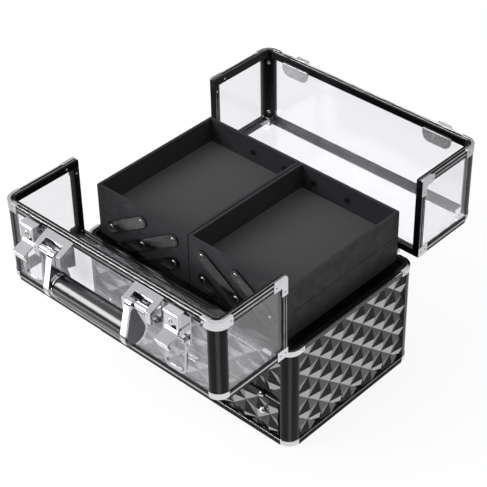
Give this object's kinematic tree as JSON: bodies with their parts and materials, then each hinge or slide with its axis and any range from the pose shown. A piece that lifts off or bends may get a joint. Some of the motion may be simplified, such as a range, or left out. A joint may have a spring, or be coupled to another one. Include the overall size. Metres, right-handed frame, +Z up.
{
  "type": "makeup train case",
  "caption": "Hard train case with quilted black box, bottom drawer, clear split lids on long hinges, chrome latches and handle, and cantilever trays that fan out on arms",
  "frame": {"origin": "centre of the base on the surface it stands on", "axes": "+X along the length to the right, +Y to the back, +Z up; front is -Y"},
  "size_m": [0.3614, 0.5267, 0.2813],
  "materials": {
    "gloss_black_panel": "glossy black moulded sheet of raised four-sided points",
    "black_lining": "black flocked lining on fibreboard",
    "black_aluminium": "black anodised ribbed extrusion",
    "chrome": "bright chrome plate",
    "hinge_steel": "plated steel",
    "clear_acrylic": "clear acrylic sheet",
    "tray_black": "black fine-grained covered board",
    "arm_black": "black enamelled steel",
    "grip_black": "glossy black plastic"
  },
  "bodies": {
    "case": {"quilted_front": "gloss_black_panel", "quilted_back": "gloss_black_panel", "quilted_left": "gloss_black_panel", "quilted_right": "gloss_black_panel", "inner_box": "black_lining", "compartment_floor": "black_lining", "drawer_runners": "black_lining", "corner_posts": "black_aluminium", "bottom_rails": "black_aluminium", "bottom_corner_caps": "chrome", "top_rim": "black_aluminium", "rim_corner_caps": "chrome", "divider_rail": "black_aluminium", "catch_pivots": "chrome", "front_hinge_box_leaf": "hinge_steel", "back_hinge_box_leaf": "hinge_steel", "hinge_pins": "hinge_steel"},
    "drawer": {"drawer_face": "gloss_black_panel", "drawer_tray": "black_lining", "drawer_knobs": "chrome"},
    "drawer_catch_left": {"drawer_catch_left": "black_aluminium"},
    "drawer_catch_right": {"drawer_catch_right": "black_aluminium"},
    "front_lid": {"front_lid_roof_panel": "clear_acrylic", "front_lid_long_panel": "clear_acrylic", "front_lid_end_panels": "clear_acrylic", "front_lid_edge_rails": "black_aluminium", "front_lid_split_rim": "black_aluminium", "front_lid_hinge_rim": "black_aluminium", "front_lid_corner_caps": "chrome", "front_hinge_lid_leaf": "hinge_steel", "handle_brackets": "chrome", "pivot_pins": "hinge_steel", "latch_plates": "chrome", "lock_cylinders": "chrome"},
    "back_lid": {"back_lid_roof_panel": "clear_acrylic", "back_lid_long_panel": "clear_acrylic", "back_lid_end_panels": "clear_acrylic", "back_lid_edge_rails": "black_aluminium", "back_lid_split_rim": "black_aluminium", "back_lid_hinge_rim": "black_aluminium", "back_lid_corner_caps": "chrome", "back_hinge_lid_leaf": "hinge_steel", "catch_plates": "chrome"},
    "handle": {"handle_arms": "chrome", "handle_rings": "chrome", "handle_grip": "grip_black"},
    "latch_lever_left": {"latch_lever_left": "chrome"},
    "latch_lever_right": {"latch_lever_right": "chrome"},
    "latch_loop_left": {"latch_loop_left": "chrome"},
    "latch_loop_right": {"latch_loop_right": "chrome"},
    "left_long_arms": {"left_long_arms": "arm_black"},
    "left_lower_arms": {"left_lower_arms": "arm_black"},
    "left_upper_arms": {"left_upper_arms": "arm_black"},
    "left_lower_tray": {"left_lower_tray": "tray_black"},
    "left_upper_tray": {"left_upper_tray": "tray_black"},
    "right_long_arms": {"right_long_arms": "arm_black"},
    "right_lower_arms": {"right_lower_arms": "arm_black"},
    "right_upper_arms": {"right_upper_arms": "arm_black"},
    "right_lower_tray": {"right_lower_tray": "tray_black"},
    "right_upper_tray": {"right_upper_tray": "tray_black"}
  },
  "joints": [
    {"name": "front_lid_hinge", "type": "hinge", "parent": "case", "child": "front_lid", "pos_m": [0, -0.1235, 0.15825], "axis": [-1, 0, 0], "range_deg": [0, 90]},
    {"name": "back_lid_hinge", "type": "hinge", "parent": "case", "child": "back_lid", "pos_m": [0, 0.1235, 0.15825], "axis": [1, 0, 0], "range_deg": [0, 90]},
    {"name": "drawer_slide", "type": "slide", "parent": "case", "child": "drawer", "axis": [0, -1, 0], "range_m": [0, 0.17]},
    {"name": "drawer_catch_left_turn", "type": "hinge", "parent": "case", "child": "drawer_catch_left", "pos_m": [-0.134, -0.1196, 0.0705], "axis": [0, 1, 0], "range_deg": [0, 90]},
    {"name": "drawer_catch_right_turn", "type": "hinge", "parent": "case", "child": "drawer_catch_right", "pos_m": [0.134, -0.1196, 0.0705], "axis": [0, -1, 0], "range_deg": [0, 90]},
    {"name": "handle_swing", "type": "hinge", "parent": "front_lid", "child": "handle", "pos_m": [0, -0.25825, 0.26225], "axis": [-1, 0, 0], "range_deg": [0, 95]},
    {"name": "latch_lever_left_swing", "type": "hinge", "parent": "front_lid", "child": "latch_lever_left", "pos_m": [-0.121, -0.25125, 0.25075], "axis": [-1, 0, 0], "range_deg": [-45, 30]},
    {"name": "latch_loop_left_swing", "type": "hinge", "parent": "front_lid", "child": "latch_loop_left", "pos_m": [-0.121, -0.24575, 0.23775], "axis": [-1, 0, 0], "range_deg": [0, 170]},
    {"name": "latch_lever_right_swing", "type": "hinge", "parent": "front_lid", "child": "latch_lever_right", "pos_m": [0.121, -0.25125, 0.25075], "axis": [-1, 0, 0], "range_deg": [-45, 30]},
    {"name": "latch_loop_right_swing", "type": "hinge", "parent": "front_lid", "child": "latch_loop_right", "pos_m": [0.121, -0.24575, 0.23775], "axis": [-1, 0, 0], "range_deg": [0, 170]},
    {"name": "right_tray_swing", "type": "hinge", "parent": "case", "child": "right_long_arms", "pos_m": [0.137, 0, 0.1475], "axis": [0, -1, 0], "range_deg": [-108, 0]},
    {"name": "right_lower_tray_level", "type": "hinge", "parent": "right_long_arms", "child": "right_lower_tray", "pos_m": [0.081, 0, 0.183], "axis": [0, -1, 0], "range_deg": [0, 108]},
    {"name": "right_upper_tray_level", "type": "hinge", "parent": "right_long_arms", "child": "right_upper_tray", "pos_m": [0.025, 0, 0.2185], "axis": [0, -1, 0], "range_deg": [0, 108]},
    {"name": "right_lower_arm_swing", "type": "hinge", "parent": "case", "child": "right_lower_arms", "pos_m": [0.081, 0, 0.1475], "axis": [0, -1, 0], "range_deg": [-108, 0]},
    {"name": "right_upper_arm_swing", "type": "hinge", "parent": "right_lower_tray", "child": "right_upper_arms", "pos_m": [0.137, 0, 0.183], "axis": [0, -1, 0], "range_deg": [-108, 0]},
    {"name": "left_tray_swing", "type": "hinge", "parent": "case", "child": "left_long_arms", "pos_m": [-0.137, 0, 0.1475], "axis": [0, 1, 0], "range_deg": [-108, 0]},
    {"name": "left_lower_tray_level", "type": "hinge", "parent": "left_long_arms", "child": "left_lower_tray", "pos_m": [-0.081, 0, 0.183], "axis": [0, 1, 0], "range_deg": [0, 108]},
    {"name": "left_upper_tray_level", "type": "hinge", "parent": "left_long_arms", "child": "left_upper_tray", "pos_m": [-0.025, 0, 0.2185], "axis": [0, 1, 0], "range_deg": [0, 108]},
    {"name": "left_lower_arm_swing", "type": "hinge", "parent": "case", "child": "left_lower_arms", "pos_m": [-0.081, 0, 0.1475], "axis": [0, 1, 0], "range_deg": [-108, 0]},
    {"name": "left_upper_arm_swing", "type": "hinge", "parent": "left_lower_tray", "child": "left_upper_arms", "pos_m": [-0.137, 0, 0.183], "axis": [0, 1, 0], "range_deg": [-108, 0]}
  ],
  "couplings": [
    {"joint": "right_lower_tray_level", "follows": "right_tray_swing", "ratio": -1},
    {"joint": "right_upper_tray_level", "follows": "right_tray_swing", "ratio": -1},
    {"joint": "right_lower_arm_swing", "follows": "right_tray_swing", "ratio": 1},
    {"joint": "right_upper_arm_swing", "follows": "right_tray_swing", "ratio": 1},
    {"joint": "left_lower_tray_level", "follows": "left_tray_swing", "ratio": -1},
    {"joint": "left_upper_tray_level", "follows": "left_tray_swing", "ratio": -1},
    {"joint": "left_lower_arm_swing", "follows": "left_tray_swing", "ratio": 1},
    {"joint": "left_upper_arm_swing", "follows": "left_tray_swing", "ratio": 1}
  ]
}
